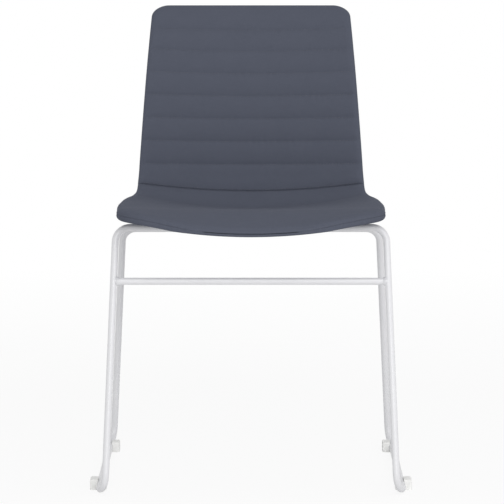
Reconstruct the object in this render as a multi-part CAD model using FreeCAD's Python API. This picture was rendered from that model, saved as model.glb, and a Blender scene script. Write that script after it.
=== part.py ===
"""Sled base visitor chair: bent rod base, moulded shell, foam, sewn covers and clip-on glides.

Millimetres, +Z up. The origin is the centre of the footprint on the floor. The chair faces -Y, and
left and right are as seen from the front, so the left side is at -X.
"""
import FreeCAD
import Part
import math
import os

Vector = FreeCAD.Vector

# Rod of the base
ROD_DIAMETER = 12.0
RUNNER_CLEARANCE = 4.0         # under the runner, filled by the floor of the glide
RUNNER_HALF_SPACING = 258.0
FRONT_LEG_FOOT = (247.5, -272.8)      # half spacing and Y where the leg's line meets the runner
FRONT_LEG_TOP = (231.1, -166.8)
FRONT_CROSS_HEIGHT = 448.7
REAR_LEG_FOOT = (253.1, 239.2)
REAR_LEG_TOP = (230.5, 133.2)
REAR_CROSS_DROP = 34.7         # of the rear cross rod below the front one
FRONT_JOG_LENGTH = 31.0        # along Y, over which the foot of the front leg moves out to the runner
REAR_JOG_LENGTH = 30.0
FOOT_BEND = 24.0               # bend radii on the rod's centreline
JOG_BEND = 30.0
TOP_BEND = 25.0

# Stretcher between the front legs, and the weld beads
STRETCHER_HEIGHT = 358.7
STRETCHER_DIAMETER = 12.0
STRETCHER_WELD_GAP = 0.2
WELD_BEAD = 2.6
BUTT_WELD_WIDTH = 5.0
BUTT_WELD_RISE = 0.6           # above the rod's surface

# Lugs that carry the shell, welded to the inner side of the cross rods
LUG_LENGTH = 36.0              # along X
LUG_REACH = 30.0               # along Y, from the rod's centreline
LUG_THICKNESS = 3.0
FRONT_LUG_X = 135.0
REAR_LUG_X = 100.0
LUG_SCREW_REACH = 18.0         # from the rod's centreline to the screw
SPACER_DIAMETER = 24.0
SEAT_CLEARANCE = 0.3           # between a curved layer and what it lies on

# Fasteners of the shell
SCREW_DIAMETER = 6.0
SCREW_HOLE_CLEARANCE = 0.4
SCREW_HEAD_DIAMETER = 10.5
SCREW_HEAD_HEIGHT = 3.3
SCREW_SOCKET = 4.0             # across flats
WASHER_DIAMETER = 14.0
WASHER_THICKNESS = 1.6
NUT_BARREL_DIAMETER = 8.0
NUT_FLANGE_DIAMETER = 19.0
NUT_FLANGE_THICKNESS = 1.5
NUT_THREAD_CLEARANCE = 0.05
NUT_FLANGE_CLEARANCE = 0.3
NUT_SEAT_DEPTH = 3.2           # below the shell's upper face at the screw's axis

# Clip-on glides
GLIDE_WIDTH = 28.0
GLIDE_OFFSET = 4.0             # of the block's middle from the rod: outward in front, inward behind
GLIDE_LENGTH = 34.0
GLIDE_HEIGHT = 18.0
GLIDE_EDGE = 2.5
GLIDE_ROD_CLEARANCE = 0.1
GLIDE_MOUTH = 9.0              # width of the slot above the rod
FRONT_GLIDE_Y = -185.8
REAR_GLIDE_Y = 184.2
GLIDE_SCREW_DIAMETER = 3.5
GLIDE_SCREW_HEAD = 6.6
GLIDE_SCREW_LENGTH = 7.5
GLIDE_SCREW_RECESS = 0.8       # the head lies this far above the floor

# Middle surface of the upholstered shell, as a path in the YZ plane from the front edge to the top
NOSE_Y = -278.8
NOSE_ABOVE_CROSS = 0.6         # start of the path above the centreline of the front cross rod
NOSE_RISE_DEG = 26.0           # the path climbs from the front edge
WATERFALL_RADIUS = 195.0
SEAT_FALL_DEG = 5.2            # the seat falls to the rear
SEAT_FLAT_LENGTH = 265.0
CREASE_RADIUS = 85.0
BACK_START_DEG = 80.0          # heading of the path where the back starts
LUMBAR_RADIUS = 1800.0
LUMBAR_LENGTH = 165.0
SHOULDER_RADIUS = 560.0
SHOULDER_LENGTH = 146.5

# Upholstered body
BODY_THICKNESS = 20.0
NOSE_THICKNESS = 16.0
NOSE_ROUND = 8.0
NOSE_BLEND = 60.0              # length over which the nose grows to the full thickness
TOP_ROUND = 9.0
EDGE_ROUND = 13.0              # width of the rolled border beside the flat of the front panel
REAR_EDGE_ROUND = 8.0
END_FLAT = 0.4                 # the body ends this far from the ends of its path
FRONT_CORNER_WIDTH = 150.0     # the seat's front corners are quarter ellipses in plan
FRONT_CORNER_LENGTH = 85.0
TOP_CORNER_WIDTH = 30.0
TOP_CORNER_LENGTH = 26.0
# Position along the path, half width, height of the sides above the centre, and the angle by which
# the section leans away from the path's normal, positive towards the start of the path
BODY_KEYS = (
    (0.0, 229.0, 30.0, -30.0),
    (8.0, 229.0, 27.0, -27.0),
    (20.0, 229.0, 20.0, -22.0),
    (40.0, 229.2, 12.0, -15.0),
    (60.0, 229.5, 8.0, -8.0),
    (80.0, 229.6, 6.3, -3.0),
    (106.0, 229.8, 5.5, 0.0),
    (146.0, 231.3, 7.5, 0.0),
    (206.0, 232.5, 13.0, 0.0),
    (267.0, 230.5, 17.5, 0.0),
    (327.0, 225.7, 23.3, 0.0),
    (377.0, 216.3, 28.0, 0.0),
    (424.0, 206.6, 28.0, 0.0),
    (466.0, 204.0, 26.3, 0.0),
    (516.0, 201.3, 24.0, 0.0),
    (655.0, 191.4, 23.0, 0.0),
    (740.0, 184.6, 20.5, 4.0),
    (809.0, 179.5, 18.0, 28.0),
)

# Sewn channels of the back
CREASE_HEADING_DEG = 52.3      # of the path, where the seat panel meets the back panel
CREASE_DEPTH = 5.0
CREASE_REACH = 34.0            # length over which the seat panel comes back up in front of the crease
FIRST_CHANNEL = 52.0
CHANNEL_PITCH = 41.4
CHANNEL_SEAMS = 7
CHANNEL_DEPTH = 3.6
CHANNEL_SHAPE = 3.0            # power of the channel's crown: higher is flatter with tighter seams

# Layers of the body, from the outside in
COVER_THICKNESS = 1.6
SHELL_THICKNESS = 5.8
SHELL_INSET = 5.0              # from the side of the body to the side of the shell
SHELL_NOSE_INSET = 8.0
PANEL_GAP = 0.3                # between the front and the rear covers, all round
CAP_EXTRA = 0.6                # beyond the cover's thickness, where it closes round an end

# Derived
rod_radius = ROD_DIAMETER / 2
runner_height = RUNNER_CLEARANCE + rod_radius
rear_cross_height = FRONT_CROSS_HEIGHT - REAR_CROSS_DROP
layer_inset = COVER_THICKNESS + SEAT_CLEARANCE


def unit(heading_deg):
    """Return the unit vector in YZ at a heading measured from +Y towards +Z."""
    a = math.radians(heading_deg)
    return Vector(0, math.cos(a), math.sin(a))


def path_pieces():
    """Return the path's pieces as (length, start point, start heading, turn per mm in degrees)."""
    spans = (
        (WATERFALL_RADIUS * math.radians(NOSE_RISE_DEG + SEAT_FALL_DEG), -WATERFALL_RADIUS),
        (SEAT_FLAT_LENGTH, 0.0),
        (CREASE_RADIUS * math.radians(BACK_START_DEG + SEAT_FALL_DEG), CREASE_RADIUS),
        (LUMBAR_LENGTH, -LUMBAR_RADIUS),
        (SHOULDER_LENGTH, -SHOULDER_RADIUS),
    )
    pieces = []
    point = Vector(0, NOSE_Y, FRONT_CROSS_HEIGHT + NOSE_ABOVE_CROSS)
    heading = NOSE_RISE_DEG
    for length, radius in spans:
        rate = math.degrees(1.0 / radius) if radius else 0.0
        pieces.append((length, point, heading, rate))
        point, heading = walk(point, heading, rate, length)
    return pieces


def walk(point, heading, rate, length):
    """Follow an arc or a line for a length, and return the new point and heading."""
    if rate == 0.0:
        return point + unit(heading) * length, heading
    radius = 1.0 / math.radians(rate)
    centre = point + unit(heading + 90) * radius
    heading += rate * length
    return centre - unit(heading + 90) * radius, heading


PATH = path_pieces()
path_length = sum(piece[0] for piece in PATH)
crease_start = sum(piece[0] for piece in PATH[:2])
crease_at = crease_start + CREASE_RADIUS * math.radians(CREASE_HEADING_DEG + SEAT_FALL_DEG)
seams = [crease_at] + [crease_at + FIRST_CHANNEL + i * CHANNEL_PITCH for i in range(CHANNEL_SEAMS)]


def on_path(s):
    """Return the point and heading at a length along the path, which runs on straight past its ends."""
    if s < 0:
        return PATH[0][1] + unit(PATH[0][2]) * s, PATH[0][2]
    rest = s
    for length, point, heading, rate in PATH:
        if rest <= length:
            return walk(point, heading, rate, rest)
        rest -= length
    length, point, heading, rate = PATH[-1]
    point, heading = walk(point, heading, rate, length)
    return point + unit(heading) * rest, heading


def key_value(s, column):
    """Return a column of the key table at s, on a smooth curve through the keys."""
    keys = BODY_KEYS
    if s <= keys[0][0]:
        return keys[0][column]
    if s >= keys[-1][0]:
        return keys[-1][column]
    index = next(i for i, key in enumerate(keys) if s <= key[0])
    low, high = keys[index - 1], keys[index]
    before = keys[max(index - 2, 0)]
    after = keys[min(index + 1, len(keys) - 1)]
    span = high[0] - low[0]
    t = (s - low[0]) / span
    leaving = (high[column] - before[column]) / (high[0] - before[0]) * span
    arriving = (after[column] - low[column]) / (after[0] - low[0]) * span
    return (low[column] * (1 - 3 * t ** 2 + 2 * t ** 3) + high[column] * (3 * t ** 2 - 2 * t ** 3)
            + leaving * (t - 2 * t ** 2 + t ** 3) + arriving * (t ** 3 - t ** 2))


def ellipse_cut(rest, length, width):
    """Return how far a quarter ellipse draws an edge in, at a distance from its end."""
    if rest >= length:
        return 0.0
    t = 1 - max(rest, 0.0) / length
    return width * (1 - math.sqrt(1 - t * t))


def half_width(s, inset):
    """Return the body's half width at s, drawn in at the corners and by the inset."""
    front = ellipse_cut(s - inset, FRONT_CORNER_LENGTH, FRONT_CORNER_WIDTH)
    top = ellipse_cut(path_length - s - inset, TOP_CORNER_LENGTH, TOP_CORNER_WIDTH)
    return key_value(s, 1) - front - top - inset


def thickness(s, inset):
    """Return the body's thickness at s, rounded at the nose and the top and less the inset."""
    grow = min(max(s / NOSE_BLEND, 0.0), 1.0)
    full = NOSE_THICKNESS + (BODY_THICKNESS - NOSE_THICKNESS) * grow
    nose = ellipse_cut(s - inset, NOSE_ROUND, 1.0)
    top = ellipse_cut(path_length - s - inset, TOP_ROUND, 1.0)
    return (full - 2 * inset) * max(1 - nose - top, 0.12)


def channel_offset(s):
    """Return how far the front surface lies below its full height, at the crease and the seams."""
    if s < crease_at:
        rest = crease_at - s
        if rest >= CREASE_REACH:
            return 0.0
        return CREASE_DEPTH * (1 - rest / CREASE_REACH) ** 2
    ends = seams + [path_length + CHANNEL_PITCH / 2]
    for index, (low, high) in enumerate(zip(ends, ends[1:])):
        if s <= high:
            u = (s - low) / (high - low)
            depth = CHANNEL_DEPTH
            if index == 0 and u < 0.5:
                depth = CREASE_DEPTH
            return depth * abs(2 * u - 1) ** CHANNEL_SHAPE
    return 0.0


def place(s, x, m):
    """Return the point at x and at height m above the middle surface, in the section at s."""
    point, heading = on_path(s)
    rise = key_value(s, 2) * (x / key_value(s, 1)) ** 2
    return point + unit(heading + 90 + key_value(s, 3)) * (m + rise) + Vector(x, 0, 0)


def arc(s, start, middle, end):
    """Return an arc edge through three (x, m) points of the section at s."""
    return Part.Arc(place(s, *start), place(s, *middle), place(s, *end)).toShape()


def line(s, start, end):
    """Return a straight edge between two (x, m) points of the section at s."""
    return Part.LineSegment(place(s, *start), place(s, *end)).toShape()


def rolled(x_flat, x_side, m_flat, m_side, turn_deg):
    """Return an (x, m) point on the quarter ellipse that rolls the edge over."""
    t = math.radians(turn_deg)
    return x_flat + (x_side - x_flat) * math.sin(t), m_side + (m_flat - m_side) * math.cos(t)


def mirrored(point):
    """Return an (x, m) point of the section on the other side."""
    return -point[0], point[1]


def outline(s, inset, face):
    """Return the flat's end, the side and the height of the front (+1) or rear (-1) of the body."""
    half = thickness(s, inset) / 2
    side = half_width(s, inset)
    if face > 0:
        round_width = max(min(EDGE_ROUND, side * 0.3) - inset, 2.0)
        height = max(half - channel_offset(s), half * 0.3)
    else:
        round_width = max(min(REAR_EDGE_ROUND, side * 0.3) - inset, 2.0)
        height = -half
    return side - round_width, side, height


def cover_section(s, face):
    """Return the section of a cover panel: the outer face, both rolled borders and the inner face."""
    flat, side, height = outline(s, 0.0, face)
    flat_in, side_in, height_in = outline(s, COVER_THICKNESS, face)
    rim = face * PANEL_GAP / 2
    start, tip = (flat, height), (side, rim)
    start_in, tip_in = (flat_in, height_in), (side_in, rim)
    roll = rolled(flat, side, height, rim, 45)
    roll_in = rolled(flat_in, side_in, height_in, rim, 45)
    return Part.Wire([
        arc(s, mirrored(start), (0, height), start),
        arc(s, start, roll, tip),
        line(s, tip, tip_in),
        arc(s, tip_in, roll_in, start_in),
        arc(s, start_in, (0, height_in), mirrored(start_in)),
        arc(s, mirrored(start_in), mirrored(roll_in), mirrored(tip_in)),
        line(s, mirrored(tip_in), mirrored(tip)),
        arc(s, mirrored(tip), mirrored(roll), mirrored(start)),
    ])


def cap_section(s, face):
    """Return the section of a cover where it closes round the front edge or the top edge."""
    flat, side, height = outline(s, 0.0, face)
    rim = face * PANEL_GAP / 2
    start, tip = (flat, height), (side, rim)
    roll = rolled(flat, side, height, rim, 45)
    return Part.Wire([
        arc(s, mirrored(start), (0, height), start),
        arc(s, start, roll, tip),
        arc(s, tip, (0, rim), mirrored(tip)),
        arc(s, mirrored(tip), mirrored(roll), mirrored(start)),
    ])


def shell_faces(s):
    """Return the heights of the moulded shell's rear and front faces at s."""
    rear = -thickness(s, 0) / 2 + layer_inset
    return rear, rear + SHELL_THICKNESS


def shell_section(s):
    """Return the section of the moulded shell, with rounded long edges."""
    rear, front = shell_faces(s)
    side = half_width(s, SHELL_INSET)
    flat = side - SHELL_THICKNESS * 0.35
    middle = (rear + front) / 2
    return Part.Wire([
        arc(s, (-flat, front), (0, front), (flat, front)),
        arc(s, (flat, front), (side, middle), (flat, rear)),
        arc(s, (flat, rear), (0, rear), (-flat, rear)),
        arc(s, (-flat, rear), (-side, middle), (-flat, front)),
    ])


def foam_section(s):
    """Return the section of the foam, from the shell's front face to the underside of the cover."""
    flat, side, height = outline(s, layer_inset, 1)
    low = shell_faces(s)[1] + SEAT_CLEARANCE
    top = max(height, low + 1.0)
    base = max(0.0, low + 0.5)
    roll = rolled(flat, side, top, base, 45)
    edge = (side - 0.2, base)
    foot = (side - 1.0, low)
    return Part.Wire([
        arc(s, (-flat, top), (0, top), (flat, top)),
        arc(s, (flat, top), roll, edge),
        line(s, edge, foot),
        arc(s, foot, (0, low), mirrored(foot)),
        line(s, mirrored(foot), mirrored(edge)),
        arc(s, mirrored(edge), mirrored(roll), (-flat, top)),
    ])


def stations(start, end):
    """Return positions along the path: close at the ends and in the channels, wide on the seat."""
    marks = [start, end]
    marks += [start + step for step in (0.8, 2.0, 4.0, 7.0, 11.0, 17.0, 25.0, 35.0, 48.0, 62.0, 80.0)]
    seat = crease_start
    marks += [seat * share for share in (0.27, 0.4, 0.55, 0.7, 0.85, 1.0)]
    arc_steps = 8
    marks += [seat + (crease_at - seat) * i / arc_steps for i in range(1, arc_steps + 1)]
    ends = seams + [path_length - TOP_CORNER_LENGTH]
    for low, high in zip(ends, ends[1:]):
        marks += [low + (high - low) * share for share in (0.06, 0.2, 0.4, 0.6, 0.8, 0.94, 1.0)]
    marks += [path_length - rest for rest in (24.0, 16.0, 10.0, 6.0, 3.0, 1.2)]
    kept = []
    for mark in sorted(marks):
        inside = start <= mark <= end
        if inside and (not kept or mark - kept[-1] > 0.35):
            kept.append(mark)
    return kept


def loft(section, marks):
    """Return a ruled solid through the sections at the marks."""
    return Part.makeLoft([section(s) for s in marks], True, True)


def solids_of(shape):
    """Return the shape as one solid, or as a compound of its solids."""
    found = [solid for solid in shape.Solids if solid.Volume > 1.0]
    return found[0] if len(found) == 1 else Part.makeCompound(found)


def rod_path(points, radii):
    """Return a wire of straight runs joined by tangent arcs, one radius for each inner point."""
    edges = []
    start = points[0]
    for before, corner, after, radius in zip(points, points[1:], points[2:], radii):
        arriving = (corner - before).normalize()
        leaving = (after - corner).normalize()
        turn = arriving.getAngle(leaving)
        reach = radius * math.tan(turn / 2)
        first = corner - arriving * reach
        last = corner + leaving * reach
        inward = (leaving - arriving).normalize()
        middle = corner + inward * (radius / math.cos(turn / 2) - radius)
        edges.append(Part.LineSegment(start, first).toShape())
        edges.append(Part.Arc(first, middle, last).toShape())
        start = last
    edges.append(Part.LineSegment(start, points[-1]).toShape())
    return Part.Wire(edges)


def rod_along(wire, diameter):
    """Return the round rod swept along a wire."""
    edge = wire.Edges[0]
    start = edge.valueAt(edge.FirstParameter)
    direction = edge.tangentAt(edge.FirstParameter)
    circle = Part.Wire([Part.makeCircle(diameter / 2, start, direction)])
    return wire.makePipeShell([circle], True, False)


def side_points(sign):
    """Return the corner points of one sled rod, from the front centre round to the rear centre."""
    gap = sign * STRETCHER_WELD_GAP / 2
    runner = sign * RUNNER_HALF_SPACING
    return [
        Vector(gap, FRONT_LEG_TOP[1], FRONT_CROSS_HEIGHT),
        Vector(sign * FRONT_LEG_TOP[0], FRONT_LEG_TOP[1], FRONT_CROSS_HEIGHT),
        Vector(sign * FRONT_LEG_FOOT[0], FRONT_LEG_FOOT[1], runner_height),
        Vector(runner, FRONT_LEG_FOOT[1] + FRONT_JOG_LENGTH, runner_height),
        Vector(runner, REAR_LEG_FOOT[1] - REAR_JOG_LENGTH, runner_height),
        Vector(sign * REAR_LEG_FOOT[0], REAR_LEG_FOOT[1], runner_height),
        Vector(sign * REAR_LEG_TOP[0], REAR_LEG_TOP[1], rear_cross_height),
        Vector(gap, REAR_LEG_TOP[1], rear_cross_height),
    ]


def glide_places():
    """Return the name, side sign and Y of each glide."""
    return [
        ("front_left_glide", -1, FRONT_GLIDE_Y),
        ("front_right_glide", 1, FRONT_GLIDE_Y),
        ("rear_left_glide", -1, REAR_GLIDE_Y),
        ("rear_right_glide", 1, REAR_GLIDE_Y),
    ]


def glide_screw_axis(sign, y):
    """Return the point on the floor below a glide screw."""
    return Vector(sign * RUNNER_HALF_SPACING, y, 0)


def screw_pilot(sign, y):
    """Return the hole in the underside of the runner that the glide screw turns into."""
    top = GLIDE_SCREW_RECESS + GLIDE_SCREW_LENGTH + 0.5
    base = glide_screw_axis(sign, y)
    return Part.makeCylinder(GLIDE_SCREW_DIAMETER / 2 + 0.05, top, base)


def sled_rod(sign):
    """Return one bent rod: half cross rods, legs and runner."""
    radii = [TOP_BEND, FOOT_BEND, JOG_BEND, JOG_BEND, FOOT_BEND, TOP_BEND]
    rod = rod_along(rod_path(side_points(sign), radii), ROD_DIAMETER)
    for name, side, y in glide_places():
        if side == sign:
            rod = rod.cut(screw_pilot(side, y))
    return solids_of(rod)


def leg_point(height):
    """Return the half spacing and Y of the front leg's centreline at a height."""
    share = (height - runner_height) / (FRONT_CROSS_HEIGHT - runner_height)
    x = FRONT_LEG_FOOT[0] + (FRONT_LEG_TOP[0] - FRONT_LEG_FOOT[0]) * share
    y = FRONT_LEG_FOOT[1] + (FRONT_LEG_TOP[1] - FRONT_LEG_FOOT[1]) * share
    return x, y


def leg_cylinder(sign, radius):
    """Return a cylinder on the front leg's centreline, from the runner to the cross rod."""
    foot = Vector(sign * FRONT_LEG_FOOT[0], FRONT_LEG_FOOT[1], runner_height)
    top = Vector(sign * FRONT_LEG_TOP[0], FRONT_LEG_TOP[1], FRONT_CROSS_HEIGHT)
    return Part.makeCylinder(radius, (top - foot).Length, foot, top - foot)


def stretcher_cylinder():
    """Return the stretcher from leg centreline to leg centreline, before it is coped."""
    x, y = leg_point(STRETCHER_HEIGHT)
    start = Vector(-x, y, STRETCHER_HEIGHT)
    return Part.makeCylinder(STRETCHER_DIAMETER / 2, 2 * x, start, Vector(1, 0, 0))


def stretcher():
    """Return the rod between the front legs, coped to fit round them."""
    radius = rod_radius + STRETCHER_WELD_GAP / 2
    return cut_all(stretcher_cylinder(), [leg_cylinder(sign, radius) for sign in (-1, 1)])


def stretcher_welds():
    """Return the two fillet beads where the stretcher meets the front legs."""
    x, y = leg_point(STRETCHER_HEIGHT)
    foot = STRETCHER_DIAMETER / 2 + WELD_BEAD
    beads = []
    for sign in (-1, 1):
        end = Vector(sign * (x - rod_radius + 1.0), y, STRETCHER_HEIGHT)
        cone = Part.makeCone(foot, STRETCHER_DIAMETER / 2 + 0.4, WELD_BEAD + 1.5, end, Vector(-sign, 0, 0))
        beads.append(cut_all(cone, [leg_cylinder(sign, rod_radius), stretcher_cylinder()]))
    return Part.makeCompound(beads)


def cross_welds():
    """Return the two butt weld beads at the middle of the cross rods."""
    beads = []
    for y, z in ((FRONT_LEG_TOP[1], FRONT_CROSS_HEIGHT), (REAR_LEG_TOP[1], rear_cross_height)):
        start = Vector(-BUTT_WELD_WIDTH / 2, y, z)
        bead = Part.makeCylinder(rod_radius + BUTT_WELD_RISE, BUTT_WELD_WIDTH, start, Vector(1, 0, 0))
        rod = Part.makeCylinder(rod_radius, BUTT_WELD_WIDTH, start, Vector(1, 0, 0))
        beads.append(bead.cut(rod))
    return Part.makeCompound(beads)


def lug_places():
    """Return name, X, rod Y, rod height and the direction along Y in which each lug reaches."""
    front = (FRONT_LEG_TOP[1], FRONT_CROSS_HEIGHT, 1)
    rear = (REAR_LEG_TOP[1], rear_cross_height, -1)
    return [
        ("front_left", -FRONT_LUG_X) + front,
        ("front_right", FRONT_LUG_X) + front,
        ("rear_left", -REAR_LUG_X) + rear,
        ("rear_right", REAR_LUG_X) + rear,
    ]


def cross_rod(y, z, radius):
    """Return a cross rod's straight part as a plain cylinder."""
    length = 2 * (REAR_LEG_TOP[0] - TOP_BEND)
    return Part.makeCylinder(radius, length, Vector(-length / 2, y, z), Vector(1, 0, 0))


def lug(x, y, z, toward):
    """Return one flat lug with a round end, flush with the top of the cross rod."""
    bottom = z + rod_radius - LUG_THICKNESS
    end = y + toward * LUG_REACH
    corner = Vector(x - LUG_LENGTH / 2, min(y, end), bottom)
    plate = Part.makeBox(LUG_LENGTH, LUG_REACH, LUG_THICKNESS, corner)
    far = [edge for edge in plate.Edges
           if abs(edge.CenterOfMass.y - end) < 0.01 and edge.Length < LUG_THICKNESS + 0.01]
    plate = plate.makeFillet(LUG_LENGTH * 0.3, far)
    centre = Vector(x, y + toward * LUG_SCREW_REACH, bottom)
    hole = Part.makeCylinder(SCREW_DIAMETER / 2 + SCREW_HOLE_CLEARANCE, LUG_THICKNESS, centre)
    return cut_all(plate, [hole, cross_rod(y, z, rod_radius)])


def lug_weld(x, y, z, toward):
    """Return the fillet bead under a lug, in the corner between plate and rod."""
    bottom = z + rod_radius - LUG_THICKNESS
    touch = math.sqrt(rod_radius ** 2 - (rod_radius - LUG_THICKNESS) ** 2)
    length = LUG_LENGTH - 8
    at = Vector(x - length / 2, y + toward * (touch + 0.6), bottom)
    bead = Part.makeCylinder(WELD_BEAD, length, at, Vector(1, 0, 0))
    above = Part.makeBox(length + 2, 4 * WELD_BEAD, 4 * WELD_BEAD,
                         Vector(at.x - 1, at.y - 2 * WELD_BEAD, bottom))
    return solids_of(bead.cut(above).cut(cross_rod(y, z, rod_radius)))


def screw_axis(place_row):
    """Return the X, Y and the lug's top height at a shell screw."""
    _, x, y, z, toward = place_row
    return x, y + toward * LUG_SCREW_REACH, z + rod_radius


def surface_height(x, y, m):
    """Return the height where the seat's surface at m over the middle crosses a vertical line."""
    low, high = 0.0, crease_start + CREASE_RADIUS * 0.9
    for _ in range(50):
        s = (low + high) / 2
        if place(s, x, m).y < y:
            low = s
        else:
            high = s
    return place(low, x, m).z


def shell_height(x, y):
    """Return the height of the moulded shell's upper face at a screw's axis."""
    full = -BODY_THICKNESS / 2 + layer_inset + SHELL_THICKNESS
    return surface_height(x, y, full)


def underside_block(x, y, clearance):
    """Return a block whose lower face lies the clearance below the seat's underside at a point."""
    under = -BODY_THICKNESS / 2
    step = 5.0
    point = Vector(x, y, surface_height(x, y, under) - clearance)
    along = Vector(0, 2 * step, surface_height(x, y + step, under) - surface_height(x, y - step, under))
    across = Vector(2 * step, 0, surface_height(x + step, y, under) - surface_height(x - step, y, under))
    normal = across.cross(along).normalize()
    return Part.makeCylinder(2 * SPACER_DIAMETER, 2 * SPACER_DIAMETER, point, normal)


def spacer(place_row):
    """Return the plastic spacer between a lug and the cover, cut to the slope of the seat's underside."""
    x, y, z = screw_axis(place_row)
    tall = shell_height(x, y) - z
    blank = Part.makeCylinder(SPACER_DIAMETER / 2, tall, Vector(x, y, z))
    bore = Part.makeCylinder(SCREW_DIAMETER / 2 + SCREW_HOLE_CLEARANCE, tall, Vector(x, y, z))
    return solids_of(blank.cut(underside_block(x, y, SEAT_CLEARANCE)).cut(bore))


def nut_seat_height(place_row):
    """Return the height of the flat in the shell on which the insert nut's flange lies."""
    x, y, z = screw_axis(place_row)
    return shell_height(x, y) - NUT_SEAT_DEPTH


def insert_nut(place_row):
    """Return the flanged insert nut, threaded through its barrel."""
    x, y, z = screw_axis(place_row)
    seat = nut_seat_height(place_row)
    depth = SHELL_THICKNESS - NUT_SEAT_DEPTH - 0.4
    flange = Part.makeCylinder(NUT_FLANGE_DIAMETER / 2, NUT_FLANGE_THICKNESS, Vector(x, y, seat))
    barrel = Part.makeCylinder(NUT_BARREL_DIAMETER / 2, depth + 0.5, Vector(x, y, seat - depth))
    thread = Part.makeCylinder(SCREW_DIAMETER / 2 + NUT_THREAD_CLEARANCE, 30, Vector(x, y, seat - 15))
    return solids_of(flange.fuse(barrel).cut(thread).removeSplitter())


def shell_screw(place_row):
    """Return a button head socket screw that comes up through the washer and lug into the nut."""
    x, y, z = screw_axis(place_row)
    under = z - LUG_THICKNESS - WASHER_THICKNESS
    end = nut_seat_height(place_row) + NUT_FLANGE_THICKNESS
    shank = Part.makeCylinder(SCREW_DIAMETER / 2, end - under, Vector(x, y, under))
    bottom = under - SCREW_HEAD_HEIGHT
    head = Part.makeCylinder(SCREW_HEAD_DIAMETER / 2, SCREW_HEAD_HEIGHT, Vector(x, y, bottom))
    rim = [edge for edge in head.Edges if abs(edge.CenterOfMass.z - bottom) < 0.01]
    head = head.makeFillet(SCREW_HEAD_HEIGHT / 2, rim[:1])
    reach = SCREW_SOCKET / math.sqrt(3)
    turns = [math.radians(60 * i) for i in range(7)]
    corners = [Vector(x + reach * math.cos(a), y + reach * math.sin(a), bottom) for a in turns]
    socket = Part.Face(Part.makePolygon(corners)).extrude(Vector(0, 0, SCREW_HEAD_HEIGHT * 0.6))
    return solids_of(shank.fuse(head).cut(socket).removeSplitter())


def washer(place_row):
    """Return the flat washer under a lug."""
    x, y, z = screw_axis(place_row)
    bottom = z - LUG_THICKNESS - WASHER_THICKNESS
    disc = Part.makeCylinder(WASHER_DIAMETER / 2, WASHER_THICKNESS, Vector(x, y, bottom))
    return disc.cut(Part.makeCylinder(SCREW_DIAMETER / 2 + 0.2, WASHER_THICKNESS, Vector(x, y, bottom)))


def screw_holes(radius):
    """Return a tall cylinder on each shell screw's axis."""
    holes = []
    for row in lug_places():
        x, y, z = screw_axis(row)
        holes.append(Part.makeCylinder(radius, 60, Vector(x, y, z - 5)))
    return holes


def nut_pockets(height):
    """Return a pocket of a height from each insert nut's flange seat upwards."""
    pockets = []
    for row in lug_places():
        x, y, z = screw_axis(row)
        base = Vector(x, y, nut_seat_height(row))
        pockets.append(Part.makeCylinder(NUT_FLANGE_DIAMETER / 2 + NUT_FLANGE_CLEARANCE, height, base))
    return pockets


def cut_all(shape, tools):
    """Return the shape cut by each tool in turn."""
    for tool in tools:
        shape = shape.cut(tool)
    return solids_of(shape)


def moulded_shell():
    """Return the shell with its nut seats and screw holes."""
    shell = loft(shell_section, stations(SHELL_NOSE_INSET, path_length - SHELL_NOSE_INSET))
    tools = nut_pockets(NUT_SEAT_DEPTH + 2.0)
    tools += screw_holes(NUT_BARREL_DIAMETER / 2 + 0.1)
    return cut_all(shell, tools)


def foams():
    """Return the seat foam and the back foam, which meet at the crease."""
    seat = loft(foam_section, stations(layer_inset + 3.0, crease_at - SEAT_CLEARANCE / 2))
    back = loft(foam_section, stations(crease_at + SEAT_CLEARANCE / 2, path_length - layer_inset - 2.0))
    return cut_all(seat, nut_pockets(NUT_FLANGE_THICKNESS + 0.5)), solids_of(back)


def cover(face, start, end):
    """Return one cover panel between two positions, closed where it reaches the front or top edge."""
    closing = COVER_THICKNESS + CAP_EXTRA
    low = max(start, closing)
    high = min(end, path_length - closing)
    panel = loft(lambda s: cover_section(s, face), stations(low, high))
    if start < closing:
        panel = panel.fuse(loft(lambda s: cap_section(s, face), stations(start, closing)))
    if end > path_length - closing:
        panel = panel.fuse(loft(lambda s: cap_section(s, face), stations(path_length - closing, end)))
    return solids_of(panel)


def covers():
    """Return the four cover panels: seat, ribbed back, rear of the back and underside of the seat."""
    nose = END_FLAT
    top = path_length - END_FLAT
    holes = screw_holes(SCREW_DIAMETER / 2 + SCREW_HOLE_CLEARANCE)
    return {
        "seat_cover": cover(1, nose, crease_at),
        "ribbed_back_cover": cover(1, crease_at, top),
        "back_rear_cover": cover(-1, crease_at, top),
        "seat_underside_cover": cut_all(cover(-1, nose, crease_at), holes),
    }


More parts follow.
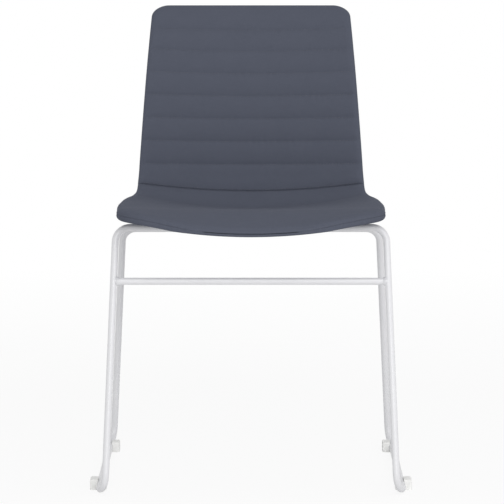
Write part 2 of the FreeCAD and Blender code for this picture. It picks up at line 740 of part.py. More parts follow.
def glide(sign, y):
    """Return one glide: a block with a round channel for the rod and a snap mouth above it."""
    x = sign * RUNNER_HALF_SPACING
    toward = sign if y < 0 else -sign
    corner = Vector(x + toward * GLIDE_OFFSET - GLIDE_WIDTH / 2, y - GLIDE_LENGTH / 2, 0)
    block = Part.makeBox(GLIDE_WIDTH, GLIDE_LENGTH, GLIDE_HEIGHT, corner)
    soft = [edge for edge in block.Edges if edge.BoundBox.ZMax > 1.0]
    block = block.makeFillet(GLIDE_EDGE, soft)
    back = Vector(x, y - GLIDE_LENGTH, runner_height)
    channel = Part.makeCylinder(rod_radius + GLIDE_ROD_CLEARANCE, 2 * GLIDE_LENGTH, back, Vector(0, 1, 0))
    mouth = Part.makeBox(GLIDE_MOUTH, 2 * GLIDE_LENGTH, GLIDE_HEIGHT,
                         Vector(x - GLIDE_MOUTH / 2, y - GLIDE_LENGTH, runner_height))
    axis = glide_screw_axis(sign, y)
    shank = Part.makeCylinder(GLIDE_SCREW_DIAMETER / 2 + 0.2, GLIDE_HEIGHT, axis)
    depth = (GLIDE_SCREW_HEAD - GLIDE_SCREW_DIAMETER) / 2
    sink = Part.makeCone(GLIDE_SCREW_HEAD / 2 + 0.2, GLIDE_SCREW_DIAMETER / 2 + 0.2, depth,
                         axis + Vector(0, 0, GLIDE_SCREW_RECESS))
    mouth_below = Part.makeCylinder(GLIDE_SCREW_HEAD / 2 + 0.2, GLIDE_SCREW_RECESS, axis)
    return cut_all(block, [channel, mouth, shank, sink, mouth_below])


def glide_screw(sign, y):
    """Return one countersunk screw, from the underside of the glide into the runner."""
    base = glide_screw_axis(sign, y) + Vector(0, 0, GLIDE_SCREW_RECESS)
    depth = (GLIDE_SCREW_HEAD - GLIDE_SCREW_DIAMETER) / 2
    head = Part.makeCone(GLIDE_SCREW_HEAD / 2, GLIDE_SCREW_DIAMETER / 2, depth, base)
    shank = Part.makeCylinder(GLIDE_SCREW_DIAMETER / 2, GLIDE_SCREW_LENGTH, base)
    arm = GLIDE_SCREW_HEAD * 0.5
    slot = Part.makeBox(arm, 0.8, 0.7, base - Vector(arm / 2, 0.4, 0))
    cross = Part.makeBox(0.8, arm, 0.7, base - Vector(0.4, arm / 2, 0))
    return solids_of(head.fuse(shank).cut(slot).cut(cross).removeSplitter())


def build():
    """Return every piece of the chair by its node name."""
    rows = lug_places()
    seat_foam, back_foam = foams()
    pieces = {
        "left_sled_rod": sled_rod(-1),
        "right_sled_rod": sled_rod(1),
        "front_stretcher": stretcher(),
        "stretcher_welds": stretcher_welds(),
        "cross_rod_welds": cross_welds(),
        "lug_welds": Part.makeCompound([lug_weld(*row[1:]) for row in rows]),
        "inner_shell": moulded_shell(),
        "seat_foam": seat_foam,
        "back_foam": back_foam,
        "shell_insert_nuts": Part.makeCompound([insert_nut(row) for row in rows]),
        "shell_screws": Part.makeCompound([shell_screw(row) for row in rows]),
        "shell_screw_washers": Part.makeCompound([washer(row) for row in rows]),
    }
    for row in rows:
        pieces[row[0] + "_mounting_lug"] = lug(*row[1:])
        pieces[row[0] + "_spacer"] = spacer(row)
    for name, sign, y in glide_places():
        pieces[name] = glide(sign, y)
    pieces["glide_screws"] = Part.makeCompound([glide_screw(sign, y) for name, sign, y in glide_places()])
    pieces.update(covers())
    return pieces


def main():
    """Build the pieces, print each one's size and write one STEP file for each."""
    os.makedirs("parts", exist_ok=True)
    for name, shape in build().items():
        box = shape.BoundBox
        print("%-26s solids %d valid %s volume %9.1f cm3 %6.2f  x %.1f..%.1f y %.1f..%.1f z %.1f..%.1f" % (
            name, len(shape.Solids), shape.isValid(), shape.Volume, shape.Volume / 1000,
            box.XMin, box.XMax, box.YMin, box.YMax, box.ZMin, box.ZMax))
        shape.exportStep("parts/" + name + ".step")


main()
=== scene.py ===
"""Looks of a sled base visitor chair: woven upholstery over a moulded shell on a bent rod base.

Metres, +Z up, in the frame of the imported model. The chair faces -Y, and left is at -X as seen from
the front. Sizes in the dataclasses are in millimetres, as on a maker's drawing.
"""

import logging
import math
from dataclasses import dataclass, field
from enum import Enum
from typing import Any

import bpy
import numpy as np
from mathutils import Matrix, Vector


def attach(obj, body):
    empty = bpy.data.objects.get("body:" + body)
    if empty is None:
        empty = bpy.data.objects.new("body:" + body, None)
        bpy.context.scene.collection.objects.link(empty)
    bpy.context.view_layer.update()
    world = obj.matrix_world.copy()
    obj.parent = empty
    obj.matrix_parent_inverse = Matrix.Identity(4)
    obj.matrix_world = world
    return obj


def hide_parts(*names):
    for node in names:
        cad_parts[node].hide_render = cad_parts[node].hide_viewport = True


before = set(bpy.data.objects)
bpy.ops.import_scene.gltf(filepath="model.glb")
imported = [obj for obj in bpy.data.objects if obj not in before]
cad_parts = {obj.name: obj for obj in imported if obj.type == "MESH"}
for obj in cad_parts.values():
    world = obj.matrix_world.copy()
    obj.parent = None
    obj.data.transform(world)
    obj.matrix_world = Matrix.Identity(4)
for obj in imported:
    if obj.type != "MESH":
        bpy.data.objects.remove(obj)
log = logging.getLogger("visitor_chair")

MM = 0.001


# Colours and shader nodes

def linear(hex_colour: str) -> tuple[float, float, float, float]:
    """Turn an sRGB hex colour into a linear colour.

    Args:
        hex_colour: six hex digits after a hash.

    Returns:
        Linear red, green and blue, and an alpha of 1.
    """
    parts = [int(hex_colour[i:i + 2], 16) / 255 for i in (1, 3, 5)]
    low, high = [v / 12.92 for v in parts], [((v + 0.055) / 1.055) ** 2.4 for v in parts]
    red, green, blue = [a if v <= 0.04045 else b for v, a, b in zip(parts, low, high)]
    return red, green, blue, 1.0


def add_node(tree: bpy.types.NodeTree, kind: str, inputs: dict[Any, Any] | None = None,
             **settings: Any) -> bpy.types.Node:
    """Add a shader node with its settings, values and links.

    Args:
        tree: the material's or world's node tree.
        kind: the node's type name.
        inputs: a value or another node's output for each named or numbered input.
        settings: properties of the node.

    Returns:
        The new node.
    """
    node = tree.nodes.new(kind)
    for name, value in settings.items():
        setattr(node, name, value)
    for name, value in (inputs or {}).items():
        if isinstance(value, bpy.types.NodeSocket):
            tree.links.new(value, node.inputs[name])
        else:
            node.inputs[name].default_value = value
    return node


def new_material(name: str) -> tuple[bpy.types.Material, bpy.types.NodeTree, bpy.types.Node]:
    """Start an empty material.

    Args:
        name: the material's name.

    Returns:
        The material, its node tree and its output node.
    """
    material = bpy.data.materials.new(name)
    material.use_nodes = True
    tree = material.node_tree
    tree.nodes.clear()
    return material, tree, add_node(tree, "ShaderNodeOutputMaterial")


# Finishes

@dataclass(frozen=True)
class PowderCoatedSteel:
    """Pale grey polyester powder, sprayed and baked on steel rod.

    The powder flows out into a fine orange peel, so highlights are soft and slightly broken.
    """

    name: str = "powder_coated_steel"
    colour: str = "#E6E6E8"
    shade: str = "#DFDFE2"
    roughness: float = 0.32
    peel_mm: float = 1.6
    peel_height_mm: float = 0.02
    patch_mm: float = 40.0

    def material(self) -> bpy.types.Material:
        """Return the powder coat as a material."""
        material, tree, output = new_material(self.name)
        place = add_node(tree, "ShaderNodeTexCoord").outputs["Object"]
        patches = add_node(tree, "ShaderNodeTexNoise", {
            "Vector": place, "Scale": 1000 / self.patch_mm, "Detail": 3.0, "Roughness": 0.5})
        tint = add_node(tree, "ShaderNodeMix", {
            0: patches.outputs["Fac"], 6: linear(self.shade), 7: linear(self.colour)}, data_type="RGBA")
        peel = add_node(tree, "ShaderNodeTexNoise", {
            "Vector": place, "Scale": 1000 / self.peel_mm, "Detail": 2.0, "Roughness": 0.45})
        gloss = add_node(tree, "ShaderNodeMapRange", {
            "Value": patches.outputs["Fac"],
            "To Min": self.roughness - 0.05, "To Max": self.roughness + 0.06})
        bump = add_node(tree, "ShaderNodeBump", {
            "Height": peel.outputs["Fac"], "Strength": 0.6, "Distance": self.peel_height_mm * MM})
        surface = add_node(tree, "ShaderNodeBsdfPrincipled", {
            "Base Color": tint.outputs[2], "Roughness": gloss.outputs["Result"], "IOR": 1.5,
            "Normal": bump.outputs["Normal"]})
        tree.links.new(surface.outputs["BSDF"], output.inputs["Surface"])
        return material


@dataclass(frozen=True)
class ZincPlatedSteel:
    """Bright zinc on cold headed screws, stamped washers and turned nuts.

    The plating is thin, so the fine drawing lines of the steel show through its clear grey shine.
    """

    name: str = "zinc_plated_steel"
    colour: str = "#C9CBCE"
    shade: str = "#AEB1B6"
    roughness: float = 0.32
    grain_mm: float = 0.5

    def material(self) -> bpy.types.Material:
        """Return the zinc plate as a material."""
        material, tree, output = new_material(self.name)
        place = add_node(tree, "ShaderNodeTexCoord").outputs["Object"]
        stretched = add_node(tree, "ShaderNodeMapping", {"Vector": place, "Scale": (1.0, 1.0, 6.0)})
        grain = add_node(tree, "ShaderNodeTexNoise", {
            "Vector": stretched.outputs["Vector"], "Scale": 1000 / self.grain_mm, "Detail": 2.0})
        tint = add_node(tree, "ShaderNodeMix", {
            0: grain.outputs["Fac"], 6: linear(self.shade), 7: linear(self.colour)}, data_type="RGBA")
        gloss = add_node(tree, "ShaderNodeMapRange", {
            "Value": grain.outputs["Fac"], "To Min": self.roughness - 0.08, "To Max": self.roughness + 0.1})
        surface = add_node(tree, "ShaderNodeBsdfPrincipled", {
            "Base Color": tint.outputs[2], "Metallic": 1.0, "Roughness": gloss.outputs["Result"]})
        tree.links.new(surface.outputs["BSDF"], output.inputs["Surface"])
        return material


@dataclass(frozen=True)
class MouldedPlastic:
    """Injection moulded nylon or polypropylene with a spark eroded grain.

    The grain breaks the gloss up into a dull, even sheen.
    """

    name: str
    colour: str
    shade: str
    roughness: float = 0.5
    grain_mm: float = 0.9
    grain_height_mm: float = 0.03
    clouds_per_metre: float = 70.0
    scatter: float = 0.0
    scatter_depth_mm: float = 2.0

    def material(self) -> bpy.types.Material:
        """Return the moulded plastic as a material."""
        material, tree, output = new_material(self.name)
        place = add_node(tree, "ShaderNodeTexCoord").outputs["Object"]
        clouds = add_node(tree, "ShaderNodeTexNoise", {
            "Vector": place, "Scale": self.clouds_per_metre, "Detail": 3.0})
        tint = add_node(tree, "ShaderNodeMix", {
            0: clouds.outputs["Fac"], 6: linear(self.shade), 7: linear(self.colour)}, data_type="RGBA")
        grain = add_node(tree, "ShaderNodeTexVoronoi", {"Vector": place, "Scale": 1000 / self.grain_mm})
        bump = add_node(tree, "ShaderNodeBump", {
            "Height": grain.outputs["Distance"], "Strength": 0.5, "Distance": self.grain_height_mm * MM})
        gloss = add_node(tree, "ShaderNodeMapRange", {
            "Value": clouds.outputs["Fac"],
            "To Min": self.roughness - 0.05, "To Max": self.roughness + 0.05})
        surface = add_node(tree, "ShaderNodeBsdfPrincipled", {
            "Base Color": tint.outputs[2], "Roughness": gloss.outputs["Result"], "IOR": 1.53,
            "Normal": bump.outputs["Normal"], "Subsurface Weight": self.scatter,
            "Subsurface Radius": (1.0, 1.0, 1.0), "Subsurface Scale": self.scatter_depth_mm * MM})
        tree.links.new(surface.outputs["BSDF"], output.inputs["Surface"])
        return material


@dataclass(frozen=True)
class WovenCloth:
    """Plain woven wool and polyamide upholstery cloth, piece dyed slate blue.

    Real threads lie about 0.9 mm apart, too fine for the picture, so they are drawn at 2 mm. The yarn is
    melange, so single threads differ a little, and loose fibres give the cloth a soft sheen at its edges.
    """

    name: str = "woven_upholstery_cloth"
    dark: str = "#4A4E5A"
    light: str = "#5D616E"
    thread_mm: float = 2.0
    thread_height_mm: float = 0.22
    slub_mm: float = 1.75
    slub_stretch: float = 0.12
    cloud_mm: float = 38.0
    cloud_height_mm: float = 1.2
    slub_share: float = 0.55
    weave_share: float = 0.22
    cloud_share: float = 0.18
    share_offset: float = 0.1
    sheen: str = "#B9BECC"
    roughness: float = 0.92
    along: str = "thread"

    def material(self) -> bpy.types.Material:
        """Return the cloth as a material."""
        material, tree, output = new_material(self.name)
        cloth = add_node(tree, "ShaderNodeAttribute", attribute_name=self.along)
        counted = add_node(tree, "ShaderNodeVectorMath", {
            0: cloth.outputs["Vector"], "Scale": 1000 / self.thread_mm}, operation="SCALE")
        split = add_node(tree, "ShaderNodeSeparateXYZ", {0: counted.outputs["Vector"]})
        ridges = []
        for axis in ("X", "Y"):
            turned = add_node(tree, "ShaderNodeMath", {
                0: split.outputs[axis], 1: math.pi}, operation="MULTIPLY")
            wave = add_node(tree, "ShaderNodeMath", {0: turned.outputs[0]}, operation="SINE")
            ridges.append(add_node(tree, "ShaderNodeMath", {0: wave.outputs[0]}, operation="ABSOLUTE"))
        over = add_node(tree, "ShaderNodeTexChecker", {"Vector": counted.outputs["Vector"], "Scale": 1.0})
        weave = add_node(tree, "ShaderNodeMix", {
            0: over.outputs["Fac"], 2: ridges[0].outputs[0], 3: ridges[1].outputs[0]}, data_type="FLOAT")
        yarns = []
        for stretch in ((1.0, self.slub_stretch, 1.0), (self.slub_stretch, 1.0, 1.0)):
            run = add_node(tree, "ShaderNodeMapping", {"Vector": cloth.outputs["Vector"], "Scale": stretch})
            yarns.append(add_node(tree, "ShaderNodeTexNoise", {
                "Vector": run.outputs["Vector"], "Scale": 1000 / self.slub_mm, "Detail": 3.0,
                "Roughness": 0.6}))
        slub = add_node(tree, "ShaderNodeMix", {
            0: over.outputs["Fac"], 2: yarns[0].outputs["Fac"],
            3: yarns[1].outputs["Fac"]}, data_type="FLOAT")
        cloud = add_node(tree, "ShaderNodeTexNoise", {
            "Vector": cloth.outputs["Vector"], "Scale": 1000 / self.cloud_mm,
            "Detail": 4.0, "Roughness": 0.55})
        mixed = add_node(tree, "ShaderNodeMath", {
            0: slub.outputs[0], 1: self.slub_share, 2: self.share_offset}, operation="MULTIPLY_ADD")
        raised = add_node(tree, "ShaderNodeMath", {
            0: weave.outputs[0], 1: self.weave_share, 2: mixed.outputs[0]}, operation="MULTIPLY_ADD")
        shade = add_node(tree, "ShaderNodeMath", {
            0: cloud.outputs["Fac"], 1: self.cloud_share, 2: raised.outputs[0]},
            operation="MULTIPLY_ADD", use_clamp=True)
        tint = add_node(tree, "ShaderNodeMix", {
            0: shade.outputs[0], 6: linear(self.dark), 7: linear(self.light)}, data_type="RGBA")
        rough = add_node(tree, "ShaderNodeMath", {0: slub.outputs[0], 1: 0.5, 2: weave.outputs[0]},
                         operation="MULTIPLY_ADD")
        fine = add_node(tree, "ShaderNodeBump", {
            "Height": rough.outputs[0], "Strength": 0.7, "Distance": self.thread_height_mm * MM})
        wide = add_node(tree, "ShaderNodeBump", {
            "Height": cloud.outputs["Fac"], "Strength": 0.4, "Distance": self.cloud_height_mm * MM,
            "Normal": fine.outputs["Normal"]})
        surface = add_node(tree, "ShaderNodeBsdfPrincipled", {
            "Base Color": tint.outputs[2], "Roughness": self.roughness, "IOR": 1.45,
            "Specular IOR Level": 0.12, "Sheen Weight": 0.05, "Sheen Roughness": 0.45,
            "Sheen Tint": linear(self.sheen), "Normal": wide.outputs["Normal"]})
        tree.links.new(surface.outputs["BSDF"], output.inputs["Surface"])
        return material


@dataclass(frozen=True)
class SewingThread:
    """Bonded polyester thread, twisted in three plies, dyed to match the cloth.

    The plies catch the light as fine slanting ribs. Their light and shade are painted into the colour as
    bands.
    """

    name: str = "sewing_thread"
    colour: str = "#575B68"
    shade: str = "#434650"
    ply_mm: float = 0.6

    def material(self) -> bpy.types.Material:
        """Return the thread as a material."""
        material, tree, output = new_material(self.name)
        place = add_node(tree, "ShaderNodeTexCoord").outputs["Object"]
        # Painted light and shade of the plies: diagonal bands that run from the lit colour to the darker
        # painted shade
        painted_ply_shading = add_node(tree, "ShaderNodeTexWave", {
            "Vector": place, "Scale": 1000 / self.ply_mm / (2 * math.pi)}, bands_direction="DIAGONAL")
        tint = add_node(tree, "ShaderNodeMix", {
            0: painted_ply_shading.outputs["Fac"], 6: linear(self.shade), 7: linear(self.colour)}, data_type="RGBA")
        surface = add_node(tree, "ShaderNodeBsdfPrincipled", {
            "Base Color": tint.outputs[2], "Roughness": 0.6, "Sheen Weight": 0.2})
        tree.links.new(surface.outputs["BSDF"], output.inputs["Surface"])
        return material


# Form of the upholstered shell

class Face(Enum):
    """The side of the shell that a cloth panel covers."""

    FRONT = 1
    REAR = -1


@dataclass(frozen=True)
class Section:
    """Sizes of the body at one place along its path, and how far its section leans."""

    at: float
    half_width: float
    dish: float
    lean_deg: float


@dataclass(frozen=True)
class Span:
    """One piece of the path: its length, and its radius, or 0 where it is straight."""

    length: float
    radius: float


@dataclass
class ShellForm:
    """Middle surface and outline of the upholstered body, from the seat's front edge to the top."""

    start: tuple[float, float] = (-278.8, 449.3)
    start_heading_deg: float = 26.0
    spans: tuple[Span, ...] = (
        Span(195.0 * math.radians(31.2), -195.0),
        Span(265.0, 0.0),
        Span(85.0 * math.radians(85.2), 85.0),
        Span(165.0, -1800.0),
        Span(146.5, -560.0),
    )
    sections: tuple[Section, ...] = (
        Section(0.0, 229.0, 30.0, -30.0),
        Section(8.0, 229.0, 27.0, -27.0),
        Section(20.0, 229.0, 20.0, -22.0),
        Section(40.0, 229.2, 12.0, -15.0),
        Section(60.0, 229.5, 8.0, -8.0),
        Section(80.0, 229.6, 6.3, -3.0),
        Section(106.0, 229.8, 5.5, 0.0),
        Section(146.0, 231.3, 7.5, 0.0),
        Section(206.0, 232.5, 13.0, 0.0),
        Section(267.0, 230.5, 17.5, 0.0),
        Section(327.0, 225.7, 23.3, 0.0),
        Section(377.0, 216.3, 28.0, 0.0),
        Section(424.0, 206.6, 28.0, 0.0),
        Section(466.0, 204.0, 26.3, 0.0),
        Section(516.0, 201.3, 24.0, 0.0),
        Section(655.0, 191.4, 23.0, 0.0),
        Section(740.0, 184.6, 20.5, 4.0),
        Section(809.0, 179.5, 18.0, 28.0),
    )
    thick: float = 20.0
    nose_thick: float = 16.0
    nose_blend: float = 60.0
    nose_round: float = 8.0
    top_round: float = 9.0
    least_share: float = 0.04
    front_corner: tuple[float, float] = (150.0, 85.0)
    top_corner: tuple[float, float] = (30.0, 26.0)
    crease_heading_deg: float = 52.3
    first_channel: float = 52.0
    channel_pitch: float = 41.4
    channel_seams: int = 7
    length: float = field(init=False)
    crease: float = field(init=False)
    seams: list[float] = field(init=False)

    def __post_init__(self) -> None:
        """Work out the path's length and where the crease and the seams lie."""
        self.length = sum(span.length for span in self.spans)
        bend = self.spans[2]
        seat_fall = -self.start_heading_deg + math.degrees(self.spans[0].length / -self.spans[0].radius)
        self.crease = (self.spans[0].length + self.spans[1].length
                       + bend.radius * math.radians(self.crease_heading_deg + seat_fall))
        first = self.crease + self.first_channel
        self.seams = [first + i * self.channel_pitch for i in range(self.channel_seams)]

    def path(self, s: np.ndarray) -> tuple[np.ndarray, np.ndarray, np.ndarray]:
        """Follow the path.

        Args:
            s: lengths along the path.

        Returns:
            Y, Z and the heading in radians at each length.
        """
        y, z = self.start
        heading = math.radians(self.start_heading_deg)
        passed = 0.0
        out_y, out_z, out_h = np.zeros_like(s), np.zeros_like(s), np.zeros_like(s)
        for index, span in enumerate(self.spans):
            last = index == len(self.spans) - 1
            here = (s >= passed) & ((s <= passed + span.length) | last)
            if index == 0:
                here |= s < 0
            run = s[here] - passed
            if span.radius == 0.0:
                out_y[here], out_z[here] = y + run * math.cos(heading), z + run * math.sin(heading)
                out_h[here] = heading
                y, z = y + span.length * math.cos(heading), z + span.length * math.sin(heading)
            else:
                turned = heading + run / span.radius
                centre = (y - span.radius * math.sin(heading), z + span.radius * math.cos(heading))
                out_y[here] = centre[0] + span.radius * np.sin(turned)
                out_z[here] = centre[1] - span.radius * np.cos(turned)
                out_h[here] = turned
                heading += span.length / span.radius
                y = centre[0] + span.radius * math.sin(heading)
                z = centre[1] - span.radius * math.cos(heading)
            passed += span.length
        return out_y, out_z, out_h

    def size_at(self, s: np.ndarray, name: str) -> np.ndarray:
        """Return one of the sections' sizes at each length, on a smooth curve through them."""
        at = np.array([section.at for section in self.sections])
        value = np.array([getattr(section, name) for section in self.sections])
        slope = np.gradient(value, at)
        slope[1:-1] = (value[2:] - value[:-2]) / (at[2:] - at[:-2])
        held = np.clip(s, at[0], at[-1])
        index = np.clip(np.searchsorted(at, held) - 1, 0, len(at) - 2)
        span = at[index + 1] - at[index]
        t = (held - at[index]) / span
        return (value[index] * (1 - 3 * t ** 2 + 2 * t ** 3) + value[index + 1] * (3 * t ** 2 - 2 * t ** 3)
                + slope[index] * span * (t - 2 * t ** 2 + t ** 3)
                + slope[index + 1] * span * (t ** 3 - t ** 2))

    @staticmethod
    def drawn_in(rest: np.ndarray, length: float, width: float) -> np.ndarray:
        """Return how far a quarter ellipse draws an edge in, at each distance from its end."""
        t = 1 - np.clip(rest, 0, length) / length
        return width * (1 - np.sqrt(np.clip(1 - t * t, 0, 1)))

    def half_width(self, s: np.ndarray) -> np.ndarray:
        """Return the half width at each length, drawn in at the corners."""
        front = self.drawn_in(s, self.front_corner[1], self.front_corner[0])
        top = self.drawn_in(self.length - s, self.top_corner[1], self.top_corner[0])
        return self.size_at(s, "half_width") - front - top

    def half_thick(self, s: np.ndarray) -> np.ndarray:
        """Return half the body's thickness at each length, rounded at both ends."""
        grow = np.clip(s / self.nose_blend, 0, 1)
        full = self.nose_thick + (self.thick - self.nose_thick) * grow
        ends = self.drawn_in(s, self.nose_round, 1.0) + self.drawn_in(self.length - s, self.top_round, 1.0)
        return full / 2 * np.clip(1 - ends, self.least_share, 1)

    def place(self, s: np.ndarray, x: np.ndarray, m: np.ndarray) -> np.ndarray:
        """Put points on the body.

        Args:
            s: length along the path, one for each row.
            x: place across, rows by columns.
            m: height above the middle surface, rows by columns.

        Returns:
            The points in metres, rows by columns by three.
        """
        y, z, heading = self.path(s)
        turn = heading + math.pi / 2 + np.radians(self.size_at(s, "lean_deg"))
        rise = self.size_at(s, "dish")[:, None] * (x / self.size_at(s, "half_width")[:, None]) ** 2
        up = m + rise
        points = np.stack([x, y[:, None] + np.cos(turn)[:, None] * up,
                           z[:, None] + np.sin(turn)[:, None] * up], axis=-1)
        return points * MM

    def channel(self, s: np.ndarray, depth: float, deep: float, reach: float, power: float) -> np.ndarray:
        """Return how far the front face lies below its crown at each length.

        Args:
            s: lengths along the path.
            depth: at the seams of the back.
            deep: at the crease.
            reach: how far the crease draws the seat's cover down.
            power: how flat the crowns are.

        Returns:
            The drop at each length.
        """
        drop = np.where(s < self.crease, deep * (1 - np.clip(self.crease - s, 0, reach) / reach) ** 2, 0.0)
        ends = [self.crease, *self.seams, self.length + self.channel_pitch / 2]
        for index, (low, high) in enumerate(zip(ends, ends[1:])):
            u = (s - low) / (high - low)
            here = (s > low) & (s <= high)
            drop = np.where(here, np.where((index == 0) & (u < 0.5), deep, depth)
                            * np.abs(2 * u - 1) ** power, drop)
        return drop


# The sewn covers

@dataclass
class Grid:
    """Rows along the path and places across, shared by every panel and by the cloth simulation."""

    form: ShellForm
    step: float
    columns: int
    roll_steps: int = 7
    nose_steps: int = 26
    top_steps: int = 16

    def rows(self) -> np.ndarray:
        """Return the rows' lengths along the path: fine at both ends, with one on each seam."""
        form = self.form
        nose, top = form.front_corner[1], form.top_corner[1]
        first = nose * (1 - np.cos(np.linspace(0, math.pi / 2, self.nose_steps)))
        last = form.length - top * (1 - np.cos(np.linspace(math.pi / 2, 0, self.top_steps)))
        marks = [nose, form.crease, *form.seams, form.length - top]
        spans = [np.linspace(a, b, max(2, round((b - a) / self.step) + 1))
                 for a, b in zip(marks, marks[1:])]
        return np.unique(np.round(np.concatenate([first, *spans, last]), 4))

    def across(self, s: np.ndarray, roll: float) -> tuple[np.ndarray, np.ndarray]:
        """Return places across and how full the section is there.

        Args:
            s: the rows' lengths along the path.
            roll: width of the rolled border.

        Returns:
            X and the share of the full height, each rows by columns.
        """
        side = self.form.half_width(s)[:, None]
        width = np.minimum(roll, side * 0.3)
        turn = np.linspace(0, math.pi / 2, self.roll_steps)[:-1]
        flat = np.linspace(-1, 1, self.columns)
        border_x = side - width * (1 - np.cos(turn))
        border_up = np.broadcast_to(np.sin(turn), (len(s), len(turn)))
        x = np.concatenate([-border_x, flat * (side - width), border_x[:, ::-1]], axis=1)
        up = np.concatenate([border_up, np.ones((len(s), self.columns)), border_up[:, ::-1]], axis=1)
        return x, up


@dataclass
class ClothSimulation:
    """Foam pushing on the sewn front covers, which stay put along their seams and round the rim.

    On the seat the free cloth balloons by centimetres, so every point's movement is limited. Most of the
    seat lies at that limit.

    Attributes:
        pressure: of the foam against the cloth.
        mass: of each point.
        stretch: stiffness along the threads.
        shear: stiffness across the weave.
        bend: stiffness against folding.
        quality: steps in each frame.
        frames: how long the cloth settles.
        most_mm: limit of each point's movement.
    """

    pressure: float = 20.0
    mass: float = 0.02
    stretch: float = 18.0
    shear: float = 8.0
    bend: float = 0.6
    quality: int = 6
    frames: int = 20
    most_mm: float = 1.2

    def swell(self, front: np.ndarray, held: np.ndarray) -> np.ndarray:
        """Let the foam push the front covers out.

        Args:
            front: points of the front face, rows by columns by three.
            held: how firmly each front point is sewn down, from 0 to 1, rows by columns.

        Returns:
            How far each front point moves, rows by columns by three.
        """
        count = held.size
        numbers = np.arange(count).reshape(held.shape)
        body = mesh_object("cloth_simulation", front.reshape(-1, 3), quads_of(numbers))
        pins = body.vertex_groups.new(name="sewn")
        for number, weight in enumerate(held.ravel()):
            if weight > 0:
                pins.add([number], float(weight), "REPLACE")
        cloth = body.modifiers.new("cloth", "CLOTH")
        settings = cloth.settings
        settings.quality = self.quality
        settings.mass = self.mass
        settings.tension_stiffness = settings.compression_stiffness = self.stretch
        settings.shear_stiffness = self.shear
        settings.bending_stiffness = self.bend
        settings.use_pressure = True
        settings.uniform_pressure_force = self.pressure
        settings.vertex_group_mass = pins.name
        settings.effector_weights.gravity = 0.0
        cloth.point_cache.frame_start, cloth.point_cache.frame_end = 1, self.frames
        scene = bpy.context.scene
        for number in range(1, self.frames + 1):
            scene.frame_set(number)
        settled = body.evaluated_get(bpy.context.evaluated_depsgraph_get())
        moved = np.empty(len(settled.data.vertices) * 3, np.float32)
        settled.data.vertices.foreach_get("co", moved)
        scene.frame_set(1)
        mesh = body.data
        bpy.data.objects.remove(body)
        bpy.data.meshes.remove(mesh)
        push = moved.reshape(front.shape) - front
        size = np.linalg.norm(push, axis=2, keepdims=True)
        most = self.most_mm * MM
        log.info("cloth simulation: %d points, raw movement up to %.1f mm", count, size.max() / MM)
        return push * (most * np.tanh(size / most) / np.maximum(size, 1e-9))


def quads_of(index: np.ndarray) -> np.ndarray:
    """Return the quads of a grid of vertex numbers."""
    return np.stack([index[:-1, :-1], index[:-1, 1:], index[1:, 1:], index[1:, :-1]], axis=-1).reshape(-1, 4)


def mesh_object(name: str, points: np.ndarray, faces: np.ndarray) -> bpy.types.Object:
    """Make an object from points in metres and faces.

    Args:
        name: of the object and its mesh.
        points: one row for each vertex.
        faces: vertex numbers, one row for each face.

    Returns:
        The object, shaded smooth and linked to the scene.
    """
    mesh = bpy.data.meshes.new(name)
    mesh.from_pydata(points.tolist(), [], faces.tolist())
    mesh.update()
    mesh.shade_smooth()
    made = bpy.data.objects.new(name, mesh)
    bpy.context.scene.collection.objects.link(made)
    return made


def resample(coarse: np.ndarray, at: np.ndarray, to: np.ndarray) -> np.ndarray:
    """Read rows of values at other places on straight lines between them.

    Args:
        coarse: values, one row for each place.
        at: the places of the rows.
        to: the places to read.

    Returns:
        The values, one row for each place read.
    """
    index = np.clip(np.searchsorted(at, to) - 1, 0, len(at) - 2)
    t = ((to - at[index]) / (at[index + 1] - at[index])).reshape(-1, *[1] * (coarse.ndim - 1))
    return coarse[index] * (1 - t) + coarse[index + 1] * t


@dataclass(frozen=True)
class Panel:
    """One sewn cover: its name, what it replaces, its face and where it starts and ends."""

    name: str
    nodes: tuple[str, ...]
    slot: str
    face: Face
    start: float
    end: float


